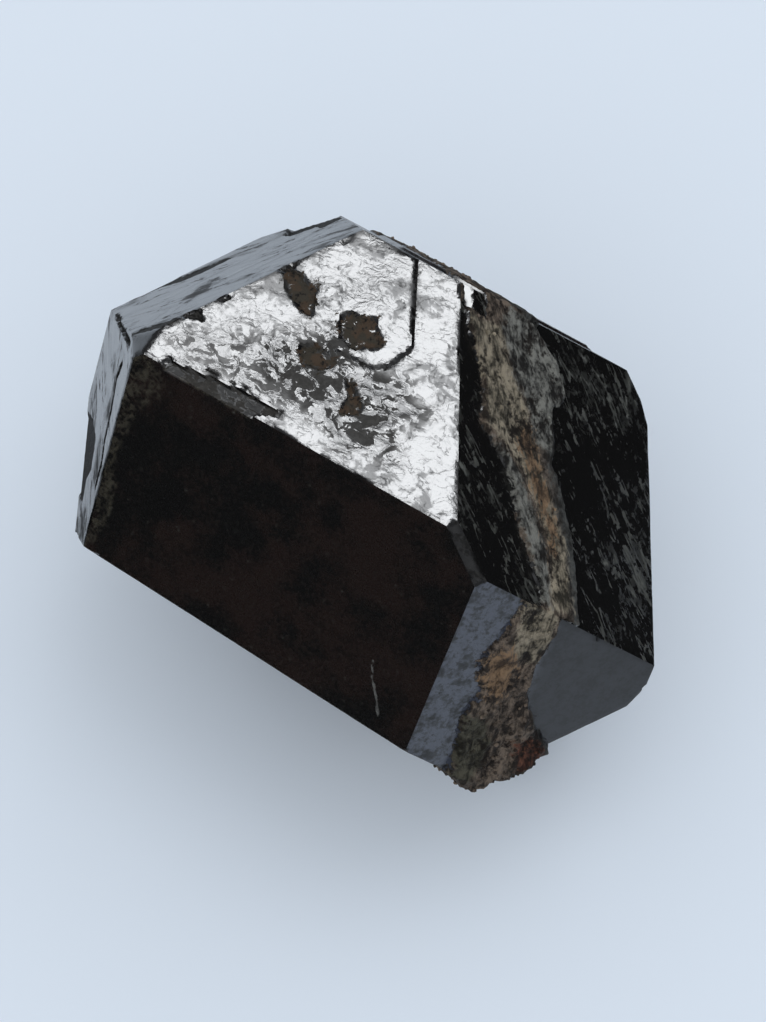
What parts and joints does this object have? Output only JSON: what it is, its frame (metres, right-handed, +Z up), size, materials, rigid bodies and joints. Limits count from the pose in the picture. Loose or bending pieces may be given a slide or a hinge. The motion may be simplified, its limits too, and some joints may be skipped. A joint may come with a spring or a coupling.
{
  "type": "uraninite crystal",
  "caption": "Loose dark mineral crystal with flat cube and octahedron faces, stretched one way, with a rough brown vein running round it as a belt.",
  "frame": {"origin": "middle of the footprint, on the flat face that the crystal lies on", "axes": "+X along the crystal's long way, +Z up out of the resting face, the large dark cube face towards -Y"},
  "size_m": [0.018, 0.0126, 0.0133],
  "materials": {
    "uraninite": "black submetallic crystal faces, one etched and mirror bright, with a crumbly tan and rust brown vein"
  },
  "bodies": {
    "root": {"uraninite_crystal": "uraninite"}
  },
  "joints": []
}
